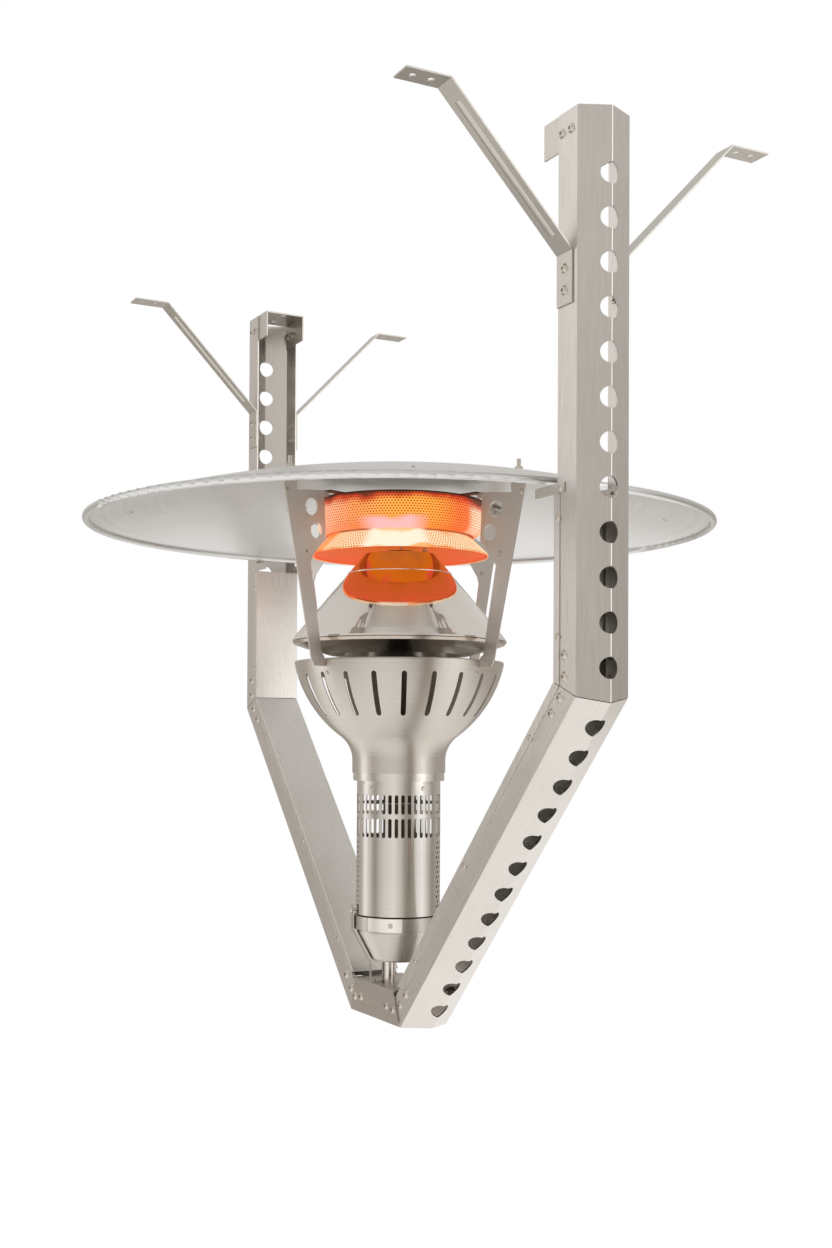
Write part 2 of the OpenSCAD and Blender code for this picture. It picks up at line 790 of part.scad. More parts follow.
// Disc that closes the cone's neck round the mixing tube
module burner_collar() {
    color(dark_steel) difference() {
        union() {
            tube(cone_neck_r - 1, tube_r + 0.2, -460, -458);
            tube(tube_r + 2, tube_r + 0.2, -480, -459);
        }
        for (a = electrode_az) rotate([0, 0, a]) translate([electrode_r, 0, -470])
            cylinder(r = 4.3, h = 20);
    }
}

module emitter_band() {
    r = band_d / 2;
    turn = 14;
    path = concat(
        [[r - shell / 2, -384]],
        arc([r - shell / 2 - turn, -418], turn, 0, -80, 5)
    );
    color(hot) shell_of(path, shell);
}

module emitter_skirt() {
    r = skirt_d / 2;
    path = [[101.4, -433.4], [104, -435.6], [r - 2, -455.6], [r - 0.6, -457.4], [r - 0.6, -460]];
    color(hot) shell_of(path, shell);
}

// Ring on top of the band with four ears that sit in the struts' hooks
module emitter_top_ring() {
    color(dark_steel) difference() {
        union() {
            translate([0, 0, -383.6]) cylinder(r = band_d / 2 + 1, h = 1.6, $fn = 96);
            for (a = strut_az) rotate([0, 0, a])
                translate([100, -7, -383.6]) cube([48, 14, 1.6]);
        }
        for (a = strut_az) rotate([0, 0, a]) translate([141, -1.3, -390]) cube([20, 2.6, 20]);
    }
}

// Inner screen with its tip down, which spreads the flame over the band
module diffuser_cone() {
    path = [[band_d / 2 - 4, -386.2], [60, -408], [5, -432]];
    color(ceramic) shell_of(path, shell);
}

// Upright plate with a hook for the radiant head and two large holes in its gusset
module strut(az) {
    outline = [
        [203, -364.5], [230, -368], [175, -613], [170, -622], [148.4, -622],
        [151.4, -608], [156, -606], [178, -484], [174, -474],
        [150, -448], [153, -391], [146, -391], [143, -386], [145, -381.8], [204, -388]
    ];
    color(brushed) rotate([0, 0, az]) difference() {
        union() {
            xz_plate(-1, 1) polygon(outline);
            translate([stud_r - 12, -1, -368]) rotate([0, asin(stud_r / dome_r), 0])
                translate([0, -9, 0]) cube([26, 19, 2]);
        }
        for (h = strut_holes) translate([h[0], 5, h[1]]) rotate([90, 0, 0])
            cylinder(r = h[2], h = 10);
        for (h = strut_screw_at) translate([h[0], 5, h[1]]) rotate([90, 0, 0])
            cylinder(r = 2.2, h = 10);
        translate([stud_r, 0, -377]) cylinder(r = 3.3, h = 20);
    }
}

module strut_screws() {
    color(dark_steel) for (a = strut_az) rotate([0, 0, a]) for (h = strut_screw_at)
        translate([h[0], -1.1, h[1]]) rotate([90, 0, 0]) {
            cylinder(r1 = 4, r2 = 3, h = 1.8);
            translate([0, 0, -4]) cylinder(r = 2, h = 4.4);
        }
}

module reflector() {
    steps = 26;
    end_a = asin((reflector_r - rim_r) / dome_r);
    centre = [0, dome_top - dome_r];
    outer = arc(centre, dome_r, 90, 90 - end_a, steps);
    inner = arc(centre, dome_r - dome_sheet, 90 - end_a, 90, steps);
    color(polished) difference() {
        union() {
            rotate_extrude($fn = 128) polygon(concat(outer, inner));
            rotate_extrude($fn = 128)
                translate([reflector_r - rim_r, -reflector_drop]) circle(r = rim_r, $fn = 32);
        }
        for (a = strut_az) rotate([0, 0, a]) translate([stud_r, 0, -390]) cylinder(r = 3.4, h = 60);
        on_dome() translate([0, 0, -10]) cylinder(r = 2.3, h = 20);
    }
}

// Places a rivet between each two struts, square to the dome's inner face
module on_dome() {
    for (a = strut_az) rotate([0, 0, a + 45]) translate([0, 0, dome_top - dome_r])
        rotate([0, asin(rivet_r / dome_r), 0]) translate([0, 0, dome_r - dome_sheet]) children();
}

// Studs with washers and nuts above the struts, and the dome's four rivets
module reflector_studs() {
    top = dome_z(stud_r);
    color(dark_steel) {
        for (a = strut_az) rotate([0, 0, a]) translate([stud_r, 0, 0]) {
            translate([0, 0, top - 13]) cylinder(r = 3, h = 31);
            translate([0, 0, top + 1.3]) difference() {
                cylinder(r = 7.5, h = 1.2);
                translate([0, 0, -1]) cylinder(r = 3.1, h = 4);
            }
            translate([0, 0, top + 2.6]) difference() {
                cylinder(r = nut_r, h = nut_h, $fn = 6);
                translate([0, 0, -1]) cylinder(r = 3.1, h = nut_h + 2);
            }
        }
        on_dome() {
            translate([0, 0, -1.3]) cylinder(r1 = 3.4, r2 = 4, h = 1.2);
            translate([0, 0, -1]) cylinder(r = 2, h = 3.5);
        }
    }
}

// Ceramic-bodied rod that stands beside the burner's mouth
module electrode(az, tip) {
    rotate([0, 0, az]) translate([electrode_r, 0, 0]) {
        color(ceramic) translate([0, 0, -500]) cylinder(r = 4, h = 52);
        color(dark_steel) translate([0, 0, -449]) cylinder(r = 1.4, h = tip);
    }
}

post(-1);  // left_post
post(1);  // right_post
arm(-1);  // left_arm
arm(1);  // right_arm
post_cover(-1);  // left_post_cover
post_cover(1);  // right_post_cover
arm_cover(-1);  // left_arm_cover
arm_cover(1);  // right_arm_cover
elbow_plates(-1);  // left_elbow_plates
elbow_plates(1);  // right_elbow_plates
ceiling_bracket(-1);  // left_ceiling_bracket
ceiling_bracket(1);  // right_ceiling_bracket
brace(-1, -1);  // left_front_brace
brace(-1, 1);  // left_rear_brace
brace(1, -1);  // right_front_brace
brace(1, 1);  // right_rear_brace
base_bracket();
base_gussets();
column_strap(0);  // front_strap
column_strap(180);  // rear_strap
reflector_tabs(-1);  // left_reflector_tabs
reflector_tabs(1);  // right_reflector_tabs
ceiling_bracket_bolts();
brace_bolts();
elbow_bolts();
base_bolts();
frame_nuts();
cover_screws();
strap_screws();
gas_inlet_pipe();
column_cup();
clamp_band();
column_sleeve();
access_cover();
access_cover_screws();
column_shelf();
gas_valve();
valve_stem();
valve_knob();
gas_injector();
mixing_tube();
bowl();
bowl_rivets();
deflector_cone();
deflector_pan();
burner_collar();
emitter_band();
emitter_skirt();
emitter_top_ring();
diffuser_cone();
strut(20);  // strut_20
strut(110);  // strut_110
strut(200);  // strut_200
strut(290);  // strut_290
strut_screws();
reflector();
reflector_studs();
electrode(electrode_az[0], 24);  // igniter_electrode
electrode(electrode_az[1], 14);  // flame_sensor
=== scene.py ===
# %% [markdown]
# # A ceiling-hung gas patio heater
# The heater is a fixed CAD model: a folded steel frame, a column with a bowl burner, a mirror
# cone, a glowing screen and a wide reflector. This notebook gives it its metals, its fine
# perforations and its light. We start by loading the model. Every size below is in metres.

import math

import bpy
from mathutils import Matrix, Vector


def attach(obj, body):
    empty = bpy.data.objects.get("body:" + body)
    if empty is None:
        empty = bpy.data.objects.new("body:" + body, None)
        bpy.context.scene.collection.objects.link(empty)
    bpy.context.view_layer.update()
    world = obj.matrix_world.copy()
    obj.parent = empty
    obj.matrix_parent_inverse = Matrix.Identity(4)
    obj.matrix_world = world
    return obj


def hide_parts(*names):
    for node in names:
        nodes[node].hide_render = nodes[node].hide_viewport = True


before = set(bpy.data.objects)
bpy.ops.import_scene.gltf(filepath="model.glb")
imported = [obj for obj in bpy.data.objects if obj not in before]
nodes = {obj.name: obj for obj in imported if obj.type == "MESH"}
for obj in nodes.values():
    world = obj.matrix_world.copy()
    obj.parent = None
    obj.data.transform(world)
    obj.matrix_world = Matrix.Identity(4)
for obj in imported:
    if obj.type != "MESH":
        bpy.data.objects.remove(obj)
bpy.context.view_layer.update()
scene = bpy.context.scene
MM = 0.001

# %% [markdown]
# ## Small tools
# Colours are easiest to read as sRGB hex, but shaders want linear values, so one function
# converts them. A second small function adds a shader node, sets its inputs and links it. The
# rest are built on that one: arithmetic, a colour ramp, a point's place in the model, and a
# second colour laid over a finished metal.


# %% Colour and node helpers
def srgb(hex_code):
    """An sRGB hex colour as the linear RGBA that a shader socket takes."""
    parts = [int(hex_code[i : i + 2], 16) / 255 for i in (1, 3, 5)]
    linear = [c / 12.92 if c <= 0.04045 else ((c + 0.055) / 1.055) ** 2.4 for c in parts]
    return (*linear, 1.0)


def add(tree, kind, inputs=None, **settings):
    """A node of one kind. inputs maps a socket's name or number to a value or to an output."""
    node = tree.nodes.new(kind)
    for name, value in settings.items():
        setattr(node, name, value)
    for key, value in (inputs or {}).items():
        if isinstance(value, bpy.types.NodeSocket):
            tree.links.new(value, node.inputs[key])
        else:
            node.inputs[key].default_value = value
    return node


def new_material(name):
    """An empty node material and its shader."""
    material = bpy.data.materials.new(name)
    material.use_nodes = True
    tree = material.node_tree
    return material, tree, tree.nodes["Principled BSDF"]


def shades(hex_code, contrast):
    """A darker and a lighter version of one colour, for a ramp to run between."""
    colour = srgb(hex_code)[:3]
    dark = [c * (1 - contrast) for c in colour] + [1.0]
    light = [min(1.0, c * (1 + contrast)) for c in colour] + [1.0]
    return dark, light


def ramp(tree, factor, stops):
    """A colour ramp through (position, linear colour) stops."""
    node = add(tree, "ShaderNodeValToRGB", {0: factor})
    elements = node.color_ramp.elements
    elements.remove(elements[1])
    elements[0].position, elements[0].color = stops[0]
    for at, colour in stops[1:]:
        elements.new(at).color = colour
    return node.outputs["Color"]


def calc(tree, operation, first, second=0.0):
    """One step of arithmetic on shader values."""
    return add(tree, "ShaderNodeMath", {0: first, 1: second}, operation=operation).outputs[0]


def position(tree):
    """A point's place in the model, and its X, Y and Z on their own."""
    place = add(tree, "ShaderNodeTexCoord").outputs["Object"]
    return place, add(tree, "ShaderNodeSeparateXYZ", {0: place}).outputs


def over(material, mask, hex_code):
    """Lays a second colour over a metal wherever the mask is 1."""
    tree = material.node_tree
    shader = tree.nodes["Principled BSDF"]
    bare = shader.inputs["Base Color"].links[0].from_socket
    mixed = add(tree, "ShaderNodeMixRGB", {0: mask, 1: bare, 2: srgb(hex_code)})
    tree.links.new(mixed.outputs[0], shader.inputs["Base Color"])


print("helpers ready")

# %% [markdown]
# ## The camera
# A product like this is seen from a little below its middle with a normal lens, about 43 mm on
# a frame 36 mm tall. The camera stands beside the near post and looks almost level, so that
# the uprights stay upright, and a small vertical shift fits the whole drop of the frame in.

# %% Camera
LENS_F = 42.69
SHIFT_UP = 0.0682
LOOK_AZ = math.radians(27.9)
LOOK_UP = math.radians(91.0)
ROLL = math.radians(-0.3)
CAMERA_AT = Vector((1.8860, -0.9710, -0.7150))
camera_data = bpy.data.cameras.new("camera")
camera_data.lens = LENS_F
camera_data.sensor_fit = "VERTICAL"
camera_data.sensor_height = 36.0
camera_data.shift_y = SHIFT_UP
camera = bpy.data.objects.new("camera", camera_data)
camera.location = CAMERA_AT
camera.rotation_mode = "XYZ"
camera.rotation_euler = (LOOK_UP, ROLL, math.pi / 2 - LOOK_AZ)
scene.collection.objects.link(camera)
scene.camera = camera
print("camera at", tuple(CAMERA_AT))

# %% [markdown]
# ## Stage and light
# Steel shows what it reflects. A white room with big soft panels gives long bright and grey
# bands down the column and the posts, as in a catalogue picture. The floor is plain and pale
# and lies a room's height below the ceiling, because the heater hangs. It ends a few metres
# out, so that the metal's level reflections look past it at the walls of the room.

# %% Floor
scene.view_settings.view_transform = "Standard"
FLOOR_Z = -2.6
FLOOR_REACH = 4.5
FLOOR_GLOW = 0.36


def pale_floor(name, hex_code):
    """Matt paper that also glows a little, so that it runs into the white backdrop."""
    material, _, shader = new_material(name)
    shader.inputs["Base Color"].default_value = srgb(hex_code)
    shader.inputs["Roughness"].default_value = 0.9
    shader.inputs["Emission Color"].default_value = srgb("#FFFFFF")
    shader.inputs["Emission Strength"].default_value = FLOOR_GLOW
    return material


corners = [(-1, -1), (1, -1), (1, 1), (-1, 1)]
floor_mesh = bpy.data.meshes.new("floor")
floor_mesh.from_pydata(
    [(x * FLOOR_REACH, y * FLOOR_REACH, FLOOR_Z) for x, y in corners], [], [(0, 1, 2, 3)]
)
floor_mesh.materials.append(pale_floor("pale floor", "#F7F7F6"))
floor = bpy.data.objects.new("floor", floor_mesh)
scene.collection.objects.link(floor)
print("floor", 2 * FLOOR_REACH, "m wide at", FLOOR_Z)


# %% Light panels
def panel(name, place, target, size, power):
    """A soft rectangular light that faces a point."""
    data = bpy.data.lights.new(name, "AREA")
    data.shape = "RECTANGLE"
    data.size, data.size_y = size
    data.energy = power
    lamp = bpy.data.objects.new(name, data)
    lamp.location = place
    lamp.rotation_euler = (Vector(target) - Vector(place)).to_track_quat("-Z", "Y").to_euler()
    scene.collection.objects.link(lamp)
    return lamp


MIDDLE = (0, 0, -0.6)
panel("key panel", (-1.9, -2.9, 0.5), MIDDLE, (1.3, 2.6), 13)
panel("side panel", (3.0, 1.8, 0.4), MIDDLE, (1.6, 2.6), 14)

# %% [markdown]
# ## The room that the metal mirrors
# A bare white world would make every steel face the same grey. A real studio is bright behind
# the camera and darker to the sides, so the world is given a soft band of tones round the
# horizon. The background that is seen directly stays white.

# %% Tones round the horizon
ROOM_TONES = [
    (-180, "#A9A29A"),
    (-152, "#A39C94"),
    (-141, "#B9B2AA"),
    (-128, "#FFFFFF"),
    (-110, "#C9C4BE"),
    (-93, "#877F77"),
    (-72, "#CFCBC6"),
    (-39, "#EBE9E5"),
    (-22, "#C9C4BD"),
    (-8, "#908980"),
    (4, "#978F87"),
    (20, "#D6D3CE"),
    (40, "#FFFFFF"),
    (57, "#CFCAC4"),
    (75, "#857E76"),
    (92, "#A29A92"),
    (122, "#A09991"),
    (152, "#A8A199"),
    (180, "#A9A29A"),
]
ROOM_STRENGTH = 1.2
OVERHEAD = "#DAD8D5"
print(len(ROOM_TONES), "tones round the room")

# %% The room's shader
world = bpy.data.worlds.new("studio")
world.use_nodes = True
scene.world = world
sky = world.node_tree
background = sky.nodes["Background"]
direction = add(sky, "ShaderNodeTexCoord").outputs["Generated"]
axes = add(sky, "ShaderNodeSeparateXYZ", {0: direction})
angle = calc(sky, "ARCTAN2", axes.outputs["Y"], axes.outputs["X"])
turn = add(sky, "ShaderNodeMapRange", {0: angle, 1: -math.pi, 2: math.pi, 3: 0.0, 4: 1.0})
horizon = ramp(sky, turn.outputs[0], [((a + 180) / 360, srgb(h)) for a, h in ROOM_TONES])
height = add(sky, "ShaderNodeMapRange", {0: axes.outputs["Z"], 1: -0.2, 2: 0.75, 3: 0.0, 4: 1.0})
room = add(sky, "ShaderNodeMixRGB", {0: height.outputs[0], 1: horizon, 2: srgb(OVERHEAD)})
seen = add(sky, "ShaderNodeLightPath").outputs["Is Camera Ray"]
white = add(sky, "ShaderNodeBackground", {"Color": srgb("#FFFFFF"), "Strength": 1.0})
mixed = add(sky, "ShaderNodeMixShader", {0: seen, 1: background.outputs[0], 2: white.outputs[0]})
sky.links.new(room.outputs[0], background.inputs["Color"])
background.inputs["Strength"].default_value = ROOM_STRENGTH
sky.links.new(mixed.outputs[0], sky.nodes["World Output"].inputs["Surface"])
print("room strength", ROOM_STRENGTH)

# %% [markdown]
# ## Brushed stainless steel
# The frame is folded from 304 stainless sheet with a brushed finish. An abrasive belt leaves
# straight scratches along the sheet, which spread highlights across them. The scratches are
# about 0.1 mm wide, too fine to show, so they are drawn 0.9 mm wide and 60 mm long. A faint
# large cloud of tone keeps the wide faces from looking printed.

# %% Brushed steel
SCRATCH_DEPTH = 0.1 * MM
GRAIN_WIDTH = 0.9 * MM
GRAIN_LENGTH = 60 * MM
ARM_TILT = math.radians(43.6)


def brushed_steel(name, hex_code, tilt=0.0, roughness=0.3, contrast=0.045, across=False, relief=0.06):
    """Sheet with grain along Z, tilted about Y for an arm, or turned sideways with across."""
    material, tree, shader = new_material(name)
    place, _ = position(tree)
    turned = add(
        tree, "ShaderNodeMapping", {"Vector": place, "Rotation": (0, tilt, 0)}, vector_type="POINT"
    )
    wide, long = 1 / GRAIN_WIDTH, 1 / GRAIN_LENGTH
    stretch = (wide, wide, long) if not across else (long, long, wide)
    grain_place = add(
        tree, "ShaderNodeVectorMath", {0: turned.outputs[0], 1: stretch}, operation="MULTIPLY"
    )
    grain = add(
        tree, "ShaderNodeTexNoise", {"Vector": grain_place.outputs[0], "Scale": 1.0, "Detail": 3.0}
    ).outputs["Fac"]
    cloud = add(
        tree, "ShaderNodeTexNoise", {"Vector": place, "Scale": 9.0, "Detail": 3.0}
    ).outputs["Fac"]
    dark, light = shades(hex_code, contrast)
    tone = ramp(tree, grain, [(0.3, dark), (0.7, light)])
    shade = add(
        tree, "ShaderNodeMapRange", {0: cloud, 1: 0.3, 2: 0.7, 3: 0.965, 4: 1.02}
    ).outputs[0]
    tinted = add(tree, "ShaderNodeVectorMath", {0: tone}, operation="SCALE")
    tree.links.new(shade, tinted.inputs["Scale"])
    tree.links.new(tinted.outputs[0], shader.inputs["Base Color"])
    rough_grain = add(
        tree,
        "ShaderNodeMapRange",
        {0: grain, 1: 0.25, 2: 0.75, 3: roughness - 0.07, 4: roughness + 0.07},
    )
    tree.links.new(rough_grain.outputs[0], shader.inputs["Roughness"])
    bump = add(tree, "ShaderNodeBump", {"Height": grain, "Strength": relief, "Distance": SCRATCH_DEPTH})
    tree.links.new(bump.outputs[0], shader.inputs["Normal"])
    shader.inputs["Metallic"].default_value = 1.0
    return material


def paint(material, *names):
    """Gives a CAD node its finish."""
    for name in names:
        mesh = nodes[name].data
        mesh.materials.clear()
        mesh.materials.append(material)


print("grain", GRAIN_WIDTH / MM, "mm wide and", GRAIN_LENGTH / MM, "mm long")

# %% Posts, arms and covers
post_steel = brushed_steel("brushed 304 steel, post", "#D3CFCA")
arm_right_steel = brushed_steel("brushed 304 steel, right arm", "#D3CFCA", tilt=-ARM_TILT)
arm_left_steel = brushed_steel("brushed 304 steel, left arm", "#D3CFCA", tilt=ARM_TILT)
paint(post_steel, "left_post", "right_post", "left_elbow_plates", "right_elbow_plates")
paint(arm_right_steel, "right_arm")
paint(arm_left_steel, "left_arm")
cover_steel = brushed_steel("brushed 304 steel, cover", "#D8D5D0", roughness=0.3)
paint(cover_steel, "left_post_cover", "right_post_cover", "left_arm_cover", "right_arm_cover")
print("posts, arms and covers have their steel")

# %% [markdown]
# ## The smaller sheet parts
# Brackets, braces, straps and struts are cut from the same sheet, but handling dulls them, so
# they are a little darker and rougher. The braces and the base are brushed along their length,
# which runs sideways, so their grain is turned across.

# %% Brackets, braces, base and struts
bracket_steel = brushed_steel("brushed 304 steel, bracket", "#CBC6C0", roughness=0.38)
paint(
    bracket_steel,
    "left_ceiling_bracket",
    "right_ceiling_bracket",
    "left_reflector_tabs",
    "right_reflector_tabs",
)
brace_steel = brushed_steel(
    "brushed 304 steel, brace", "#C2BEB7", roughness=0.36, contrast=0.02, across=True, relief=0.01
)
paint(brace_steel, "left_front_brace", "left_rear_brace", "right_front_brace", "right_rear_brace")
base_steel = brushed_steel(
    "brushed 304 steel, base", "#B4ACA4", roughness=0.4, contrast=0.02, across=True, relief=0.01
)
paint(base_steel, "base_bracket", "base_gussets", "front_strap", "rear_strap")
strut_steel = brushed_steel("brushed 304 steel, strut", "#C6BFB8", roughness=0.36)
paint(strut_steel, "strut_20", "strut_110", "strut_200", "strut_290")
print("small sheet parts painted")

# %% [markdown]
# ## Spun and turned metal
# The bowl, the cup and the reflector are spun: sheet is pressed over a turning former, which
# leaves fine rings round the axis. Those rings depend only on height or radius, so a
# one-dimensional noise along that measure draws them. Rings also stretch a highlight across
# themselves, which anisotropy gives: on the bowl it makes the long bright bands from lip to neck.


# %% Spun metal
def spun_metal(
    name, hex_code, ring_mm, roughness, by_radius=False, contrast=0.06, streak=0.0, relief=0.1
):
    """Metal with rings round Z, ring_mm apart. streak stretches its highlights across them."""
    material, tree, shader = new_material(name)
    place, xyz = position(tree)
    if by_radius:
        flat = add(tree, "ShaderNodeVectorMath", {0: place, 1: (1, 1, 0)}, operation="MULTIPLY")
        measure = add(
            tree, "ShaderNodeVectorMath", {0: flat.outputs[0]}, operation="LENGTH"
        ).outputs["Value"]
    else:
        measure = xyz["Z"]
    rings = add(
        tree,
        "ShaderNodeTexNoise",
        {"W": measure, "Scale": 1 / (ring_mm * MM), "Detail": 3.0},
        noise_dimensions="1D",
    ).outputs["Fac"]
    cloud = add(
        tree, "ShaderNodeTexNoise", {"Vector": place, "Scale": 7.0, "Detail": 3.0}
    ).outputs["Fac"]
    dark, light = shades(hex_code, contrast)
    half = calc(tree, "MULTIPLY", calc(tree, "ADD", rings, cloud), 0.5)
    tone = ramp(tree, half, [(0.35, dark), (0.65, light)])
    tree.links.new(tone, shader.inputs["Base Color"])
    rough = add(
        tree,
        "ShaderNodeMapRange",
        {0: half, 1: 0.3, 2: 0.7, 3: roughness - 0.05, 4: roughness + 0.05},
    )
    tree.links.new(rough.outputs[0], shader.inputs["Roughness"])
    bump = add(tree, "ShaderNodeBump", {"Height": rings, "Strength": relief, "Distance": SCRATCH_DEPTH})
    tree.links.new(bump.outputs[0], shader.inputs["Normal"])
    shader.inputs["Metallic"].default_value = 1.0
    if streak:
        tangent = add(tree, "ShaderNodeTangent", direction_type="RADIAL", axis="Z")
        tree.links.new(tangent.outputs[0], shader.inputs["Tangent"])
        shader.inputs["Anisotropic"].default_value = streak
        shader.inputs["Anisotropic Rotation"].default_value = 0.25
    return material


print("spun metal ready")

# %% Bowl, column, reflector and tubes
bowl_steel = spun_metal("spun stainless steel, bowl", "#CBC5BD", 2.5, 0.4, streak=0.85)
paint(bowl_steel, "bowl", "column_cup")
column_steel = spun_metal("rolled stainless steel, column", "#DAD6D0", 1.2, 0.17)
paint(column_steel, "access_cover")
reflector_metal = spun_metal(
    "spun aluminium, reflector", "#D6D6D5", 8.0, 0.36, by_radius=True, contrast=0.015, relief=0.01
)
paint(reflector_metal, "reflector")
pipe_steel = spun_metal("drawn stainless tube", "#EDE8E1", 3.0, 0.2)
paint(pipe_steel, "gas_inlet_pipe")
tube_steel = spun_metal("heat-tinted stainless tube", "#5E564E", 3.0, 0.35)
paint(tube_steel, "mixing_tube")
shelf_steel = spun_metal("cut sheet steel, shelf", "#8D8781", 3.0, 0.5, by_radius=True)
paint(shelf_steel, "column_shelf", "burner_collar")
stem_steel = spun_metal("turned steel, stem", "#B9B9B8", 1.0, 0.3)
paint(stem_steel, "valve_stem")
print("bowl, column, reflector and tubes painted")

# %% [markdown]
# ## The perforated column
# The lower half of the column breathes through small punched holes in staggered rows. They are
# only 4.5 mm across and open onto a dark inside, so that shade is painted as dark dots in the
# finish: a sheet of angle and height is cut into cells, and each cell is dark near its middle.

# %% Perforated column
SLEEVE_R = 59.7 * MM
SLEEVE_HOLES = 47
SLEEVE_HOLE_D = 4.5 * MM
SLEEVE_ROWS_Z = (-0.968, -0.862)
ROW_RATIO = 0.866  # staggered rows lie this much of a pitch apart
HOLE_EDGE = 0.3 * MM


def staggered_holes(tree, columns, pitch, hole, low_z, high_z):
    """1 inside round holes in staggered rows round Z between two heights, 0 elsewhere."""
    _, xyz = position(tree)
    row = calc(tree, "DIVIDE", xyz["Z"], pitch * ROW_RATIO)
    odd = calc(tree, "MODULO", calc(tree, "FLOOR", row), 2.0)
    azimuth = calc(tree, "ARCTAN2", xyz["Y"], xyz["X"])
    turned = calc(tree, "MULTIPLY", azimuth, columns / (2 * math.pi))
    column = calc(tree, "ADD", turned, calc(tree, "MULTIPLY", odd, 0.5))
    across = calc(tree, "SUBTRACT", calc(tree, "FRACT", column), 0.5)
    across = calc(tree, "MULTIPLY", across, pitch)
    upward = calc(tree, "SUBTRACT", calc(tree, "FRACT", row), 0.5)
    upward = calc(tree, "MULTIPLY", upward, pitch * ROW_RATIO)
    both = add(tree, "ShaderNodeCombineXYZ", {0: across, 1: upward})
    reach = add(tree, "ShaderNodeVectorMath", {0: both.outputs[0]}, operation="LENGTH")
    inner, outer = hole / 2 - HOLE_EDGE, hole / 2 + HOLE_EDGE
    inside = add(
        tree,
        "ShaderNodeMapRange",
        {0: reach.outputs["Value"], 1: inner, 2: outer, 3: 1.0, 4: 0.0},
    ).outputs[0]
    above = calc(tree, "GREATER_THAN", xyz["Z"], low_z)
    below = calc(tree, "LESS_THAN", xyz["Z"], high_z)
    return calc(tree, "MULTIPLY", inside, calc(tree, "MULTIPLY", above, below))


print("hole pattern ready")

# %% Column sleeve
sleeve_steel = spun_metal("perforated stainless steel, column", "#DAD6D0", 1.2, 0.17)
sleeve_pitch = 2 * math.pi * SLEEVE_R / SLEEVE_HOLES
holes = staggered_holes(
    sleeve_steel.node_tree, SLEEVE_HOLES, sleeve_pitch, SLEEVE_HOLE_D, *SLEEVE_ROWS_Z
)
# dark dots: the holes' pattern, filled with the painted shade of the column's inside
over(sleeve_steel, holes, "#57504A")
paint(sleeve_steel, "column_sleeve")
print("column holes", round(sleeve_pitch / MM, 2), "mm apart")

# %% [markdown]
# ## The clamp round the cup
# A spun band clamps the column to its cup. Where its screw sits, a mask between two directions
# lays a lighter steel on the band: a painted reflection.

# %% Clamp band
# between these two directions round Z the band carries a painted reflection
CLAMP_REFLECTION_AZ = (-68, -22)
clamp_steel = spun_metal("spun stainless steel, clamp", "#B9B3AB", 2.0, 0.36, streak=0.8)
clamp_tree = clamp_steel.node_tree
_, clamp_xyz = position(clamp_tree)
clamp_az = calc(clamp_tree, "ARCTAN2", clamp_xyz["Y"], clamp_xyz["X"])
after = calc(clamp_tree, "GREATER_THAN", clamp_az, math.radians(CLAMP_REFLECTION_AZ[0]))
before = calc(clamp_tree, "LESS_THAN", clamp_az, math.radians(CLAMP_REFLECTION_AZ[1]))
# the lighter steel laid here is a painted reflection on the band
over(clamp_steel, calc(clamp_tree, "MULTIPLY", after, before), "#F4F1EA")
paint(clamp_steel, "clamp_band")
print("clamp reflection from", CLAMP_REFLECTION_AZ[0], "to", CLAMP_REFLECTION_AZ[1], "degrees")

# %% [markdown]
# ## Mirror cone
# The cone under the glowing screen is stainless steel polished to a mirror, so that it throws
# the heat outwards. It needs little more than a very low roughness; faint polishing rings and
# a slight straw tint from the heat keep it from looking like glass. The pan that closes it from
# below is the same sheet, left unpolished; its brownish tint is a painted reflection of the bowl's
# inside.

# %% Mirror cone and pan
mirror_steel = spun_metal("mirror-polished stainless steel", "#E2DDD7", 3.0, 0.06, contrast=0.03)
paint(mirror_steel, "deflector_cone")
# the pan's brownish tint is a painted reflection of the bowl's inside
pan_steel = spun_metal("stainless steel with painted reflection tint, pan", "#BDB3A8", 3.0, 0.22, by_radius=True)
paint(pan_steel, "deflector_pan")
print("cone and pan painted")

# %% [markdown]
# ## Fixings, valve and ceramics
# Button-head bolts and nuts are plain A2 stainless, a little darker than the sheet because
# their small faces mirror the room unevenly. The tap is machined brass, its knob moulded ABS,
# and the electrodes are glazed alumina. Moulds and glazes leave a fine orange-peel.

# %% Fixings and tap
bolt_steel = spun_metal("A2 stainless fixings", "#C2BBB2", 1.5, 0.3, contrast=0.2)
paint(
    bolt_steel,
    "ceiling_bracket_bolts",
    "brace_bolts",
    "elbow_bolts",
    "base_bolts",
    "frame_nuts",
    "cover_screws",
    "strap_screws",
    "access_cover_screws",
    "bowl_rivets",
    "strut_screws",
    "reflector_studs",
)
brass = spun_metal("machined brass", "#C9A765", 1.5, 0.3)
paint(brass, "gas_valve", "gas_injector")
print("fixings and tap painted")


# %% Moulded and glazed surfaces
def moulded(name, hex_code, roughness, speckle_mm):
    """A non-metal with the fine orange-peel of a mould or a glaze."""
    material, tree, shader = new_material(name)
    place, _ = position(tree)
    peel = add(
        tree, "ShaderNodeTexNoise", {"Vector": place, "Scale": 1 / (speckle_mm * MM), "Detail": 2.0}
    ).outputs["Fac"]
    dark = [c * 0.88 for c in srgb(hex_code)[:3]] + [1.0]
    tone = ramp(tree, peel, [(0.35, dark), (0.65, srgb(hex_code))])
    tree.links.new(tone, shader.inputs["Base Color"])
    bump = add(tree, "ShaderNodeBump", {"Height": peel, "Strength": 0.2, "Distance": SCRATCH_DEPTH})
    tree.links.new(bump.outputs[0], shader.inputs["Normal"])
    shader.inputs["Roughness"].default_value = roughness
    return material


print("moulded finish ready")

# %% Knob and electrodes
paint(moulded("moulded ABS, black", "#1E1D1D", 0.45, 0.8), "valve_knob")
paint(moulded("glazed alumina", "#EFEBE2", 0.25, 1.5), "igniter_electrode", "flame_sensor")
print("knob and electrodes painted")
